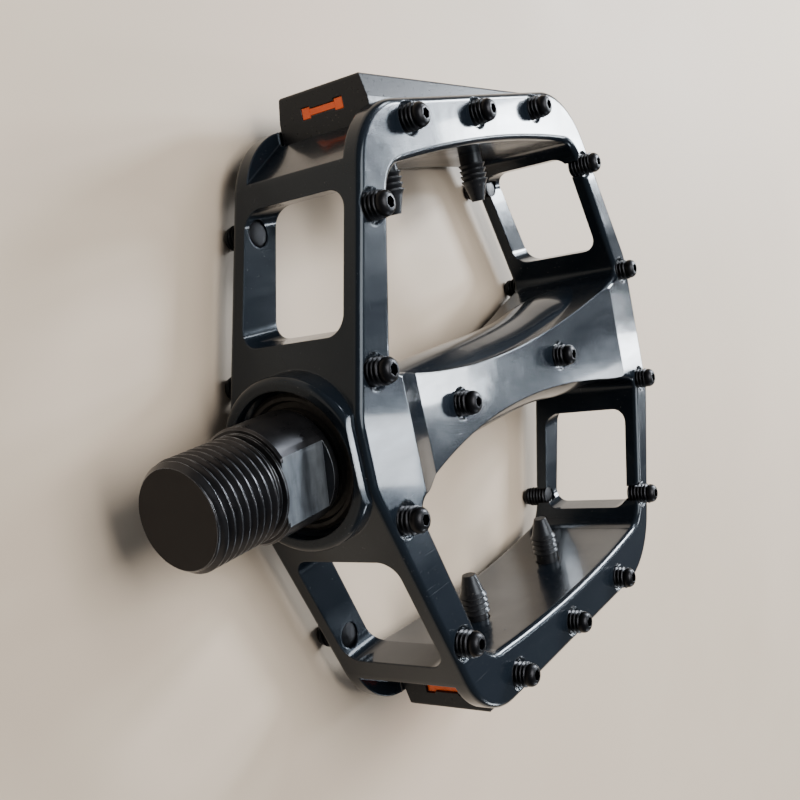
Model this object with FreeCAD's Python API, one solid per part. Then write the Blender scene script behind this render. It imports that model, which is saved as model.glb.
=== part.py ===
import FreeCAD, Part
import math
import os

# Flat pedal, millimetres. Origin: centre of the spindle shoulder that seats on the crank face.
# +X runs outboard along the spindle, Y runs front to rear, +Z is up. The platform is symmetric
# about the XZ plane and about the XY plane, so either face can be stood on.

os.makedirs("parts", exist_ok=True)

V = FreeCAD.Vector
X_AXIS = V(1, 0, 0)
Y_AXIS = V(0, 1, 0)
Z_AXIS = V(0, 0, 1)
ORIGIN = V(0, 0, 0)

# ---- spindle -------------------------------------------------------------------------------
THREAD_R = 14.2875 / 2        # 9/16 inch crank thread, major radius
THREAD_PITCH = 1.27           # 20 turns per inch
THREAD_DEPTH = 0.72
THREAD_LENGTH = 12.0
THREAD_CHAMFER = 1.0
CHAMFER_DROP = 0.8            # how far the radius falls over the thread chamfer
CREST_SHARE = 0.30            # part of a pitch that stays at the major radius
RELIEF_START = -1.35          # undercut between the last ridge and the seat
SEAT_LENGTH = 0.4             # plain land against the collar
COLLAR_R = 7.9
COLLAR_END = 9.4
COLLAR_CHAMFER = 0.3
FLAT_HALF = 6.5               # 13 mm across the spanner flats
FLAT_END = 8.2
FLAT_TURN = 8.0               # degrees the flats are turned about the spindle
LAND_R = 6.8                  # polished land the dust seal runs on
SHANK_R_INNER = 5.3
SHANK_R_OUTER = 4.6
NECK_END = 18.0
SHANK_START = 20.0
SHANK_END = 86.0
STUB_R = 4.0                  # M8 end that carries cone, washer and locknut
SPINDLE_END = 102.8
STUB_CHAMFER = 0.6
KEYWAY_WIDTH = 2.0
KEYWAY_DEPTH = 0.9

# ---- bearings ------------------------------------------------------------------------------
BALL_R = 3.175 / 2            # eighth-inch balls
RACE_R = BALL_R + 0.05        # groove radius, the ball runs with 0.05 mm to spare
IN_BALL_X = 15.5
IN_BALL_CIRCLE = 7.3
IN_BALL_COUNT = 13
IN_CUP_R = 9.7
IN_CUP_START = 13.4
IN_CUP_END = 18.6
IN_CUP_BORE = 6.5
OUT_BALL_X = 91.0
OUT_BALL_CIRCLE = 6.2
OUT_BALL_COUNT = 11
OUT_CUP_R = 8.5
OUT_CUP_START = 87.9
OUT_CUP_END = 93.1
OUT_CUP_BORE = 5.4
CONE_R = 6.4
CONE_END = 96.5
CONE_FLAT_HALF = 5.5
CONE_FLAT_LENGTH = 2.4
WASHER_END = 97.5
WASHER_R = 6.2
LOCKNUT_END = 101.3
LOCKNUT_ACROSS = 12.0
SEAL_START = 10.6
SEAL_END = 12.9
SEAL_GAP = 0.06
LOCKNUT_CROWN = ((2.6, 7.44), (0.0, 5.76))   # (distance from the end, radius) of the crown
TAB_GAP = 0.05                # keyed tab to keyway, each side
SEAL_CORNER = 0.5
SEAL_DISH = (0.7, 1.3)        # depth of the seal's hollow, and how far in from the rim it starts
SEAL_LIP = (0.5, 0.8)         # width of the seal's lip at its top and at its foot
SEAL_LIP_DROP = 0.1
CUT = 20.0                    # reach of cutters past whatever they trim

# ---- platform casting ----------------------------------------------------------------------
HALF_HEIGHT = 11.8
BOSS_X = 8.9
BOSS_R = 12.3
BOSS_RECESS_R = 10.4          # recess round the spindle collar, down to the seal
BOSS_DEPTH = 12.0
BOSS_EDGE = 0.9
NOSE_X = 10.6                 # flat nose of the shallow V on the inboard side
NOSE_HALF = 5.0
INBOARD_CORNER = (25.7, 45.8)
OUTBOARD_CORNER = (94.0, 47.6)
TAIL_X = 109.6
TAIL_HALF = 14.0
NOSE_ROUND = 6.0
INBOARD_ROUND = 12.5
OUTBOARD_ROUND = 16.0
TAIL_ROUND = 8.0

WINDOW_INBOARD_X = 16.7       # inner face of the inboard wall where it would meet y = 0
WINDOW_INBOARD_SLOPE = 0.34
WINDOW_OUTBOARD_X = 108.6
WINDOW_OUTBOARD_SLOPE = -0.40
WINDOW_SIDE_Y = (36.6, 37.8)  # inner face of the front or rear wall at its two ends
WINDOW_SIDE_BOW = (62.0, 39.0)               # point that face bows out through
WAIST_X = 59.0
WAIST_HALF = 4.4
WAIST_RADIUS = 150.0
WINDOW_ROUNDS = (2.5, 1.8, 6.0, 6.5)         # at the spar then at the side, inboard end first
EDGE_ROUND = 1.0

BARREL_BORE = 5.9
BARREL_FLARE = ((16.0, 11.2), (24.0, 9.7), (34.0, 8.3), (46.0, 8.0), (66.0, 8.0), (78.0, 8.6),
                (88.0, 9.9), (98.0, 10.4), (107.5, 11.4))
SEAT_CHAMFER = 0.5

DISH_START = 28.5
DISH_END = 99.5
DISH_STEP = 9.6               # height of the spar just past the crease
DISH_LOW = 8.15
DISH_LOW_X = 60.0
DISH_RISE = 0.2               # the dish runs out just above the outboard wall
CREASE_RUN = 7.1              # length of the slope from the wall top to the dish
DISH_REACH = 12.0

SIDE_WINDOW_HALF_Z = 9.1
SIDE_WINDOW_Y = (15.8, 34.8)
SIDE_WINDOW_REACH = (5.0, 36.0)
TAIL_WINDOW_Y = (16.6, 35.5)
TAIL_WINDOW_REACH = (88.0, 115.0)
SIDE_WINDOW_ROUND = 2.8

POCKET_X = (31.7, 88.1)
POCKET_FLOOR_Y = 41.5
POCKET_HALF_Z = 8.9
POCKET_ROUND = 1.5
RELIEF_LINE = ((19.0, 36.15), (32.5, 44.07))  # plan line the inboard corners are cut back to
STUD_HOLE_R = 2.2

CAP_R = 8.5
CAP_INNER_X = 106.4
CAP_RIM_X = 108.6
CAP_DOME_X = 109.4
CAP_WALL = 0.8
CAP_RIM_HEIGHT = 0.3
CAP_RIM_WIDTH = 1.4
CAP_DOME_R = 5.3
CAP_DOME_RISE = 0.5           # height and half width of the slope up to the dome

# ---- grip pins -----------------------------------------------------------------------------
PIN_R = 2.0                   # M4 set screws
PIN_PITCH = 0.7
PIN_ROOT_R = 1.62
PIN_LAND = 0.1                # plain length above the surface
PIN_HEIGHT = 3.0
PIN_DEPTH = 2.6
DRILL_DEPTH = 3.2
PIN_DOME = ((1.1, 1.85), (0.5, 1.5), (0.15, 1.18), (0.0, 1.02))   # (distance from the tip, radius)
SOCKET_ACROSS = 1.5
SOCKET_DEPTH = 1.2
PIN_TURN = (17.0, 31.0)       # degrees per mm of x and of y, so no two pins stand at the same turn
SPOT_R = 2.65                 # countersink round each pin
SPOT_DEPTH = 0.5
EDGE_PINS = ((36.8, 43.0), (57.5, 43.6), (78.7, 44.2))
INBOARD_PINS = ((23.4, 31.5), (16.3, 10.3))
OUTBOARD_PINS = ((96.7, 33.4), (106.0, 11.4))
SPAR_PINS = (41.0, 76.5)

# ---- reflectors ----------------------------------------------------------------------------
HOUSING_X = (32.8, 87.0)
HOUSING_BASE_HALF_Z = 8.4
HOUSING_SHOULDER = (47.0, 8.3)               # where the sides start to draw in towards the face
HOUSING_FACE_HALF_Z = 7.5
HOUSING_FACE_Y = 50.6         # height of the face at its high end
HOUSING_TILT = 2.75           # degrees the face falls towards the other end
HOUSING_WALL = 1.6
HOUSING_EDGE = 0.5
LENS_SEAT_Y = 45.4
LENS_FACE_Y = 50.0
LENS_HALF_Z = 5.9
LENS_GAP = 0.1
LENS_EDGE = 0.4
END_SLOT_Y = (46.75, 47.85)    # the slot is a bar with a wider pad at each end
END_PAD_Y = (46.4, 48.2)
END_PAD_Z = (2.4, 3.9)
TAB_FIT = 0.1                 # lens tab to slot, each side
TAB_SINK = 0.25               # the lens tabs stop short of the housing's ends
STUD_X = (45.9, 73.9)
STUD_CORE_R = 2.0
STUD_BARB_R = 2.4
STUD_TIP_Y = 30.5
STUD_TIP_R = 1.15
STUD_TIP_LENGTH = 3.0
STUD_BARBS = 4
STUD_BARB_PITCH = 0.95
STUD_BARB_LAND = 0.15


def lathe(points):
    """Solid of revolution about the X axis from (x, r) pairs, closed back to the first."""
    wire = Part.makePolygon([V(x, 0, r) for x, r in points + points[:1]])
    return Part.Face(wire).revolve(ORIGIN, X_AXIS, 360)


def tube(x0, x1, outer, inner):
    """Hollow cylinder along X."""
    shell = Part.makeCylinder(outer, x1 - x0, V(x0, 0, 0), X_AXIS)
    return shell.cut(Part.makeCylinder(inner, x1 - x0 + 2, V(x0 - 1, 0, 0), X_AXIS))


def block(x, y, z):
    """Box from three (low, high) pairs."""
    return Part.makeBox(x[1] - x[0], y[1] - y[0], z[1] - z[0], V(x[0], y[0], z[0]))


def prism(points, low, high):
    """Upright prism over a plan polygon."""
    wire = Part.makePolygon([V(x, y, low) for x, y in points + points[:1]])
    return Part.Face(wire).extrude(V(0, 0, high - low))


def round_uprights(solid, corners):
    """Round the vertical edges standing at the given (x, y, radius) corners."""
    for x, y, radius in corners:
        found = []
        for edge in solid.Edges:
            middle = edge.CenterOfMass
            upright = abs(edge.Vertexes[0].X - edge.Vertexes[-1].X) < 1e-4
            upright = upright and abs(edge.Vertexes[0].Y - edge.Vertexes[-1].Y) < 1e-4
            if upright and math.hypot(middle.x - x, middle.y - y) < 0.6:
                found.append(edge)
        solid = solid.makeFillet(radius, found)
    return solid


def mirror_rear(shape):
    return shape.mirror(ORIGIN, Y_AXIS)


def mirror_down(shape):
    return shape.mirror(ORIGIN, Z_AXIS)


def hexagon(across, x0, x1):
    """Hexagonal bar along X."""
    radius = across / math.sqrt(3)
    ring = [V(x0, radius * math.cos(math.radians(60 * k)), radius * math.sin(math.radians(60 * k)))
            for k in range(7)]
    return Part.Face(Part.makePolygon(ring)).extrude(V(x1 - x0, 0, 0))


def export(name, shape):
    shape.exportStep("parts/" + name + ".step")
    print(name, len(shape.Solids), shape.isValid(), round(shape.Volume, 1))


def race_arc(centre_x, circle, first, last):
    """(x, r) points along a ball groove between two angles in degrees."""
    steps = 6
    points = []
    for k in range(steps + 1):
        angle = math.radians(first + (last - first) * k / steps)
        points.append((centre_x + RACE_R * math.cos(angle), circle + RACE_R * math.sin(angle)))
    return points


def cut_flats(solid, x0, x1, half, turn=0):
    """Cut two opposite spanner flats between x0 and x1, turned about X by some degrees."""
    upper = block((x0, x1), (-CUT, CUT), (half, CUT))
    lower = mirror_down(upper)
    upper.rotate(ORIGIN, X_AXIS, turn)
    lower.rotate(ORIGIN, X_AXIS, turn)
    return solid.cut(upper).cut(lower)


# ---- spindle -------------------------------------------------------------------------------
def ring_thread(tip, shoulder, major, root, pitch, chamfer):
    """Thread profile as parallel ridges, from the tip towards the shoulder."""
    crest = pitch * CREST_SHARE
    flank = (pitch - crest) / 2
    points = [(tip, major - CHAMFER_DROP), (tip + chamfer, major)]
    x = tip + chamfer + crest
    while x + pitch < shoulder:
        points.append((x, major))
        points.append((x + flank, root))
        points.append((x + 2 * flank, major))
        x += pitch
    points.append((shoulder, major))
    return points


def make_spindle():
    root = THREAD_R - THREAD_DEPTH
    profile = [(-THREAD_LENGTH, 0)]
    profile += ring_thread(-THREAD_LENGTH, RELIEF_START, THREAD_R, root, THREAD_PITCH, THREAD_CHAMFER)
    profile += [(RELIEF_START, root), (-SEAT_LENGTH, root), (-SEAT_LENGTH, THREAD_R), (0, THREAD_R)]
    profile += [(0, COLLAR_R - COLLAR_CHAMFER), (COLLAR_CHAMFER, COLLAR_R)]
    profile += [(COLLAR_END - COLLAR_CHAMFER, COLLAR_R), (COLLAR_END, COLLAR_R - COLLAR_CHAMFER)]
    profile += [(COLLAR_END, LAND_R)]
    land_angle = math.degrees(math.asin((IN_BALL_CIRCLE - LAND_R) / RACE_R))
    profile += race_arc(IN_BALL_X, IN_BALL_CIRCLE, 180 + land_angle, 270)
    profile += [(NECK_END, IN_BALL_CIRCLE - RACE_R), (SHANK_START, SHANK_R_INNER)]
    profile += [(SHANK_END, SHANK_R_OUTER), (SHANK_END, STUB_R), (SPINDLE_END - STUB_CHAMFER, STUB_R)]
    profile += [(SPINDLE_END, STUB_R - STUB_CHAMFER), (SPINDLE_END, 0)]
    spindle = cut_flats(lathe(profile), 0, FLAT_END, FLAT_HALF, FLAT_TURN)
    keyway = block((CONE_END - CONE_FLAT_LENGTH, SPINDLE_END + CUT), (-KEYWAY_WIDTH / 2, KEYWAY_WIDTH / 2),
                   (STUB_R - KEYWAY_DEPTH, CUT))
    return spindle.cut(keyway)


# ---- bearings ------------------------------------------------------------------------------
def make_inboard_cup():
    lip = IN_BALL_CIRCLE + RACE_R
    profile = [(IN_CUP_START, IN_CUP_R), (IN_CUP_START, lip)]
    profile += race_arc(IN_BALL_X, IN_BALL_CIRCLE, 90, 0)
    profile += [(IN_BALL_X + RACE_R, IN_CUP_BORE), (IN_CUP_END, IN_CUP_BORE), (IN_CUP_END, IN_CUP_R)]
    return lathe(profile)


def make_outboard_cup():
    lip = OUT_BALL_CIRCLE + RACE_R
    profile = [(OUT_CUP_END, OUT_CUP_R), (OUT_CUP_END, lip)]
    profile += race_arc(OUT_BALL_X, OUT_BALL_CIRCLE, 90, 180)
    profile += [(OUT_BALL_X - RACE_R, OUT_CUP_BORE), (OUT_CUP_START, OUT_CUP_BORE)]
    profile += [(OUT_CUP_START, OUT_CUP_R)]
    return lathe(profile)


def make_outboard_cone():
    profile = [(OUT_BALL_X - 0.2, STUB_R), (OUT_BALL_X - 0.2, OUT_BALL_CIRCLE - RACE_R)]
    profile += race_arc(OUT_BALL_X, OUT_BALL_CIRCLE, 270, 360)
    profile += [(OUT_BALL_X + RACE_R, CONE_R), (CONE_END, CONE_R), (CONE_END, STUB_R)]
    return cut_flats(lathe(profile), CONE_END - CONE_FLAT_LENGTH, CONE_END, CONE_FLAT_HALF)


def make_balls(centre_x, circle, count):
    balls = []
    for k in range(count):
        angle = 2 * math.pi * (k + 0.5) / count
        centre = V(centre_x, circle * math.cos(angle), circle * math.sin(angle))
        balls.append(Part.makeSphere(BALL_R, centre))
    return Part.makeCompound(balls)


def make_washer():
    washer = tube(CONE_END, WASHER_END, WASHER_R, STUB_R)
    half = KEYWAY_WIDTH / 2 - TAB_GAP
    tab = block((CONE_END, WASHER_END), (-half, half),
                (STUB_R - KEYWAY_DEPTH + TAB_GAP, (STUB_R + WASHER_R) / 2))
    return washer.fuse(tab).removeSplitter()


def make_locknut():
    nut = hexagon(LOCKNUT_ACROSS, WASHER_END, LOCKNUT_END)
    crown = [(LOCKNUT_END - back, radius) for back, radius in LOCKNUT_CROWN]
    crown = lathe([(WASHER_END, 0), (WASHER_END, LOCKNUT_ACROSS)] + crown + [(LOCKNUT_END, 0)])
    bore = Part.makeCylinder(STUB_R, CUT, V(WASHER_END - CUT / 2, 0, 0), X_AXIS)
    return nut.common(crown).cut(bore)


def make_seal():
    """Rubber ring pressed in the boss, with a raised lip round the spindle land."""
    inner = LAND_R + SEAL_GAP
    floor = SEAL_START + SEAL_DISH[0]
    lip_top = SEAL_START + SEAL_LIP_DROP
    profile = [(SEAL_START + SEAL_CORNER, IN_CUP_R), (SEAL_START, IN_CUP_R - SEAL_CORNER)]
    profile += [(SEAL_START, IN_CUP_R - 2 * SEAL_CORNER), (floor, IN_CUP_R - SEAL_DISH[1])]
    profile += [(floor, inner + SEAL_LIP[1]), (lip_top, inner + SEAL_LIP[0]), (lip_top, inner)]
    profile += [(SEAL_END, inner), (SEAL_END, IN_CUP_R)]
    return lathe(profile)


def make_cap():
    """Pressed dust cap in the outboard end of the barrel."""
    rim_top = CAP_RIM_X + CAP_RIM_HEIGHT
    foot = CAP_DOME_R + 2 * CAP_DOME_RISE
    outer = [(CAP_INNER_X, CAP_R), (CAP_RIM_X, CAP_R), (rim_top, CAP_R - CAP_RIM_HEIGHT)]
    outer += [(rim_top, CAP_R - CAP_RIM_WIDTH), (CAP_DOME_X - CAP_DOME_RISE / 2, foot)]
    outer += [(CAP_DOME_X, CAP_DOME_R), (CAP_DOME_X, 0)]
    inner = [(CAP_DOME_X - CAP_WALL, 0), (CAP_DOME_X - CAP_WALL, CAP_DOME_R)]
    inner += [(CAP_RIM_X - CAP_WALL, foot), (CAP_RIM_X - CAP_WALL, CAP_R - CAP_WALL)]
    inner += [(CAP_INNER_X, CAP_R - CAP_WALL)]
    return lathe(outer + inner)


# ---- platform casting ----------------------------------------------------------------------
def window_line(start, slope, y):
    """x at height y on one of the window's two straight ends."""
    return start + slope * y


def make_window():
    """Front foot window: straight ends, a bowed outer side, and a wide arc towards the spar."""
    ends = ((WINDOW_INBOARD_X, WINDOW_INBOARD_SLOPE), (WINDOW_OUTBOARD_X, WINDOW_OUTBOARD_SLOPE))
    side = [(window_line(start, slope, y), y) for (start, slope), y in zip(ends, WINDOW_SIDE_Y)]
    corners = [V(side[0][0], side[0][1], -CUT), V(WINDOW_INBOARD_X, 0, -CUT),
               V(WINDOW_OUTBOARD_X, 0, -CUT), V(side[1][0], side[1][1], -CUT)]
    bow = Part.Arc(corners[3], V(WINDOW_SIDE_BOW[0], WINDOW_SIDE_BOW[1], -CUT), corners[0])
    outline = Part.Wire(Part.makePolygon(corners).Edges + [bow.toShape()])
    window = Part.Face(outline).extrude(V(0, 0, 2 * CUT))
    waist = Part.makeCylinder(WAIST_RADIUS, 2 * CUT, V(WAIST_X, WAIST_HALF + WAIST_RADIUS, -CUT))
    window = window.common(waist)
    uprights = []
    for (start, slope), radius in zip(ends, WINDOW_ROUNDS[:2]):
        y = WAIST_HALF
        for _ in range(20):
            x = window_line(start, slope, y)
            y = WAIST_HALF + WAIST_RADIUS - math.sqrt(WAIST_RADIUS ** 2 - (x - WAIST_X) ** 2)
        uprights.append((x, y, radius))
    for (x, y), radius in zip(side, WINDOW_ROUNDS[2:]):
        uprights.append((x, y, radius))
    return round_uprights(window, uprights)


def make_slab():
    """Outer shape of the platform, full height."""
    half = [(NOSE_X, NOSE_HALF), INBOARD_CORNER, OUTBOARD_CORNER, (TAIL_X, TAIL_HALF)]
    outline = half + [(x, -y) for x, y in reversed(half)]
    slab = prism(outline, -HALF_HEIGHT, HALF_HEIGHT)
    rounds = (NOSE_ROUND, INBOARD_ROUND, OUTBOARD_ROUND, TAIL_ROUND)
    corners = []
    for (x, y), radius in zip(half, rounds):
        corners.append((x, y, radius))
        corners.append((x, -y, radius))
    return round_uprights(slab, corners)


def dish_curve():
    """Side view of the dished spar surface, an arc in the XZ plane."""
    first = V(DISH_START, 0, DISH_STEP)
    last = V(DISH_END, 0, HALF_HEIGHT + DISH_RISE)
    return Part.Arc(first, V(DISH_LOW_X, 0, DISH_LOW), last).toShape()


def make_dish():
    """Cutter that lowers the top of the spar between the two windows."""
    start = DISH_START - CREASE_RUN
    rise = HALF_HEIGHT + DISH_RISE
    rim = Part.makePolygon([V(DISH_END, -DISH_REACH, rise), V(DISH_END, -DISH_REACH, CUT),
                            V(start, -DISH_REACH, CUT), V(start, -DISH_REACH, rise),
                            V(DISH_START, -DISH_REACH, DISH_STEP)])
    curve = dish_curve()
    curve.translate(V(0, -DISH_REACH, 0))
    return Part.Face(Part.Wire([curve] + rim.Edges)).extrude(V(0, 2 * DISH_REACH, 0))


def make_barrel():
    """Waisted round barrel that houses the spindle."""
    flare = Part.BSplineCurve()
    flare.interpolate([V(x, 0, r) for x, r in BARREL_FLARE])
    first = BARREL_FLARE[0]
    last = BARREL_FLARE[-1]
    rim = Part.makePolygon([V(last[0], 0, last[1]), V(last[0], 0, 0), V(first[0], 0, 0),
                            V(first[0], 0, first[1])])
    return Part.Face(Part.Wire([flare.toShape()] + rim.Edges)).revolve(ORIGIN, X_AXIS, 360)


def rounded_opening(x, y, half_z, radius):
    """Cutter along X with rounded corners in the YZ plane."""
    cutter = block(x, y, (-half_z, half_z))
    along = [e for e in cutter.Edges if abs(e.Vertexes[0].X - e.Vertexes[-1].X) > 1]
    return cutter.makeFillet(radius, along)


def rounded_pocket():
    cutter = block(POCKET_X, (POCKET_FLOOR_Y, POCKET_FLOOR_Y + CUT), (-POCKET_HALF_Z, POCKET_HALF_Z))
    along = [e for e in cutter.Edges if abs(e.Vertexes[0].Y - e.Vertexes[-1].Y) > 1]
    return cutter.makeFillet(POCKET_ROUND, along)


def corner_relief():
    """Cutter that opens the inboard end of the pocket towards the corner, between the two faces."""
    (x0, y0), (x1, y1) = RELIEF_LINE
    corner = [(x0, y0), (x1, y1), (x1, y1 + CUT), (x0, y1 + CUT)]
    return prism(corner, -POCKET_HALF_Z, POCKET_HALF_Z)


def pin_spots():
    """Plan position and base height of every pin on the upper face, by group."""
    groups = {"front": [], "rear": [], "inboard": [], "outboard": [], "spar": []}
    for x, y in EDGE_PINS:
        groups["front"].append((x, y, HALF_HEIGHT))
        groups["rear"].append((x, -y, HALF_HEIGHT))
    for name, spots in (("inboard", INBOARD_PINS), ("outboard", OUTBOARD_PINS)):
        for x, y in spots:
            groups[name].append((x, y, HALF_HEIGHT))
            groups[name].append((x, -y, HALF_HEIGHT))
    for x in SPAR_PINS:
        groups["spar"].append((x, 0, spar_height(x)))
    return groups


def spar_height(x):
    """Height of the dished spar surface at x."""
    return dish_curve().distToShape(Part.makeLine(V(x, 0, 0), V(x, 0, CUT)))[1][0][0].z


def on_surface(edge, height):
    return all(abs(abs(v.Z) - height) < 1e-3 for v in edge.Vertexes)


def make_body():
    slab = make_slab()
    window = make_window()
    plate = slab.cut(window).cut(mirror_rear(window))
    rims = [e for e in plate.Edges if on_surface(e, HALF_HEIGHT)]
    plate = plate.makeFillet(EDGE_ROUND, rims)
    dish = make_dish()
    plate = plate.cut(dish).cut(mirror_down(dish))

    boss = Part.makeCylinder(BOSS_R, BOSS_DEPTH, V(BOSS_X, 0, 0), X_AXIS)
    boss = boss.makeFillet(BOSS_EDGE, [e for e in boss.Edges if abs(e.CenterOfMass.x - BOSS_X) < 0.1])
    boss_top = HALF_HEIGHT - EDGE_ROUND
    boss = boss.common(block((0, BOSS_X + CUT), (-CUT, CUT), (-boss_top, boss_top)))
    barrel = make_barrel().cut(dish).cut(mirror_down(dish))
    body = plate.fuse([boss, barrel])

    bore = [(0, 0), (0, BOSS_RECESS_R), (SEAL_START, BOSS_RECESS_R)]
    bore += [(SEAL_START + SEAT_CHAMFER, IN_CUP_R), (IN_CUP_END, IN_CUP_R), (IN_CUP_END, BARREL_BORE)]
    bore += [(OUT_CUP_START, BARREL_BORE), (OUT_CUP_START, OUT_CUP_R), (TAIL_X + CUT, OUT_CUP_R)]
    bore += [(TAIL_X + CUT, 0)]
    body = body.cut(lathe(bore))

    inboard = rounded_opening(SIDE_WINDOW_REACH, SIDE_WINDOW_Y, SIDE_WINDOW_HALF_Z, SIDE_WINDOW_ROUND)
    tail = rounded_opening(TAIL_WINDOW_REACH, TAIL_WINDOW_Y, SIDE_WINDOW_HALF_Z, SIDE_WINDOW_ROUND)
    pocket = rounded_pocket()
    for cutter in (inboard, tail, pocket, corner_relief()):
        body = body.cut(cutter).cut(mirror_rear(cutter))

    for x in STUD_X:
        hole = Part.makeCylinder(STUD_HOLE_R, CUT / 2, V(x, POCKET_FLOOR_Y - CUT / 2, 0), Y_AXIS)
        body = body.cut(hole).cut(mirror_rear(hole))

    holes = []
    for spots in pin_spots().values():
        for x, y, z in spots:
            hole = Part.makeCylinder(PIN_R, DRILL_DEPTH + 1, V(x, y, z - DRILL_DEPTH))
            spot = Part.makeCone(SPOT_R - SPOT_DEPTH, SPOT_R + SPOT_DEPTH, 2 * SPOT_DEPTH,
                                 V(x, y, z - SPOT_DEPTH))
            holes.append(hole.fuse(spot))
    drilled = Part.makeCompound(holes)
    body = body.cut(drilled).cut(mirror_down(drilled))
    return body.removeSplitter()


# ---- grip pins -----------------------------------------------------------------------------
def make_pin():
    """M4 set screw standing on z = 0, with a domed socket end up."""
    profile = [(-PIN_DEPTH, 0), (-PIN_DEPTH, PIN_R), (PIN_LAND, PIN_R)]
    z = PIN_LAND
    while z + PIN_PITCH <= PIN_HEIGHT - PIN_DOME[0][0]:
        profile.append((z + PIN_PITCH / 2, PIN_ROOT_R))
        profile.append((z + PIN_PITCH, PIN_R))
        z += PIN_PITCH
    for back, radius in PIN_DOME:
        profile.append((PIN_HEIGHT - back, radius))
    profile.append((PIN_HEIGHT, 0))
    screw = lathe(profile)
    screw = screw.cut(hexagon(SOCKET_ACROSS, PIN_HEIGHT - SOCKET_DEPTH, PIN_HEIGHT + 1))
    screw.rotate(ORIGIN, Y_AXIS, -90)
    return screw


def place_pins(spots):
    pins = []
    for x, y, z in spots:
        pin = make_pin()
        pin.rotate(ORIGIN, Z_AXIS, PIN_TURN[0] * x + PIN_TURN[1] * y)
        pin.translate(V(x, y, z))
        pins.append(pin)
    return Part.makeCompound(pins)


# ---- reflectors ----------------------------------------------------------------------------
def make_stud(x):
    """Barbed stud that snaps through the wall, its tip towards the spar."""
    root_y = POCKET_FLOOR_Y + 1
    y = STUD_TIP_Y + STUD_TIP_LENGTH
    points = [(STUD_TIP_Y, 0), (STUD_TIP_Y, STUD_TIP_R), (y, STUD_CORE_R)]
    for _ in range(STUD_BARBS):
        step = y + STUD_BARB_PITCH - STUD_BARB_LAND
        points += [(step - STUD_BARB_LAND, STUD_BARB_R), (step, STUD_BARB_R), (step, STUD_CORE_R)]
        y += STUD_BARB_PITCH
        points.append((y, STUD_CORE_R))
    points += [(root_y, STUD_CORE_R), (root_y, 0)]
    wire = Part.makePolygon([V(0, a, r) for a, r in points + points[:1]])
    stud = Part.Face(wire).revolve(ORIGIN, Y_AXIS, 360)
    stud.translate(V(x, 0, 0))
    return stud


def tilted(shape):
    """Turn a shape drawn square to the pocket so that it lies along the sloping face."""
    shape.rotate(V(HOUSING_X[0], HOUSING_FACE_Y, 0), Z_AXIS, -HOUSING_TILT)
    return shape


def on_face(edge):
    """True for an edge that lies in the housing's sloping face."""
    fall = math.tan(math.radians(HOUSING_TILT))
    return all(abs(v.Y - HOUSING_FACE_Y + fall * (v.X - HOUSING_X[0])) < 1e-3 for v in edge.Vertexes)


def end_bar(x0, x1, inset):
    """Bar along X with wider pads above and below, for the end slots and for the tabs in them."""
    bar = block((x0, x1), (END_SLOT_Y[0] + inset, END_SLOT_Y[1] - inset), (-END_PAD_Z[0], END_PAD_Z[0]))
    upper = block((x0, x1), (END_PAD_Y[0] + inset, END_PAD_Y[1] - inset),
                  (END_PAD_Z[0] - 2 * TAB_FIT + inset, END_PAD_Z[1] - inset))
    return bar.fuse([upper, mirror_down(upper)]).removeSplitter()


def make_housing():
    """Front reflector housing with its lens recess, end slots and two studs."""
    x0, x1 = HOUSING_X
    shoulder_y, shoulder_z = HOUSING_SHOULDER
    half = [(POCKET_FLOOR_Y - CUT, HOUSING_BASE_HALF_Z), (POCKET_FLOOR_Y, HOUSING_BASE_HALF_Z),
            (shoulder_y, shoulder_z), (HOUSING_FACE_Y, HOUSING_FACE_HALF_Z)]
    section = half + [(y, -z) for y, z in reversed(half)]
    wire = Part.makePolygon([V(x0 - CUT, y, z) for y, z in section + section[:1]])
    shell = tilted(Part.Face(wire).extrude(V(x1 - x0 + 2 * CUT, 0, 0)))
    shell = shell.common(block(HOUSING_X, (POCKET_FLOOR_Y, POCKET_FLOOR_Y + CUT), (-CUT, CUT)))
    shell = shell.makeFillet(HOUSING_EDGE, [e for e in shell.Edges if on_face(e)])
    recess = block((x0 + HOUSING_WALL, x1 - HOUSING_WALL), (LENS_SEAT_Y, LENS_SEAT_Y + CUT),
                   (-LENS_HALF_Z, LENS_HALF_Z))
    shell = shell.cut(tilted(recess)).cut(tilted(end_bar(x0 - CUT, x1 + CUT, 0)))
    return shell.fuse([make_stud(x) for x in STUD_X]).removeSplitter()


def make_lens():
    """Amber lens block seated in the housing, with a tab through each end slot."""
    x0 = HOUSING_X[0] + HOUSING_WALL + LENS_GAP
    x1 = HOUSING_X[1] - HOUSING_WALL - LENS_GAP
    half = LENS_HALF_Z - LENS_GAP
    lens = block((x0, x1), (LENS_SEAT_Y, LENS_FACE_Y), (-half, half))
    lens = lens.makeFillet(LENS_EDGE, [e for e in lens.Edges if abs(e.CenterOfMass.y - LENS_FACE_Y) < 0.01])
    reach = HOUSING_WALL + LENS_GAP - TAB_SINK
    lens = lens.fuse(end_bar(x0 - reach, x1 + reach, TAB_FIT)).removeSplitter()
    return tilted(lens)


def turned_round(shape):
    """The same part fitted to the rear side, turned half way round about the platform's middle."""
    other = shape.copy()
    other.rotate(V(sum(HOUSING_X) / 2, 0, 0), Z_AXIS, 180)
    return other


export("spindle", make_spindle())
export("dust_seal", make_seal())
export("inboard_race_cup", make_inboard_cup())
export("outboard_race_cup", make_outboard_cup())
export("inboard_balls", make_balls(IN_BALL_X, IN_BALL_CIRCLE, IN_BALL_COUNT))
export("outboard_balls", make_balls(OUT_BALL_X, OUT_BALL_CIRCLE, OUT_BALL_COUNT))
export("outboard_cone", make_outboard_cone())
export("keyed_washer", make_washer())
export("locknut", make_locknut())
export("dust_cap", make_cap())
export("pedal_body", make_body())

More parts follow.
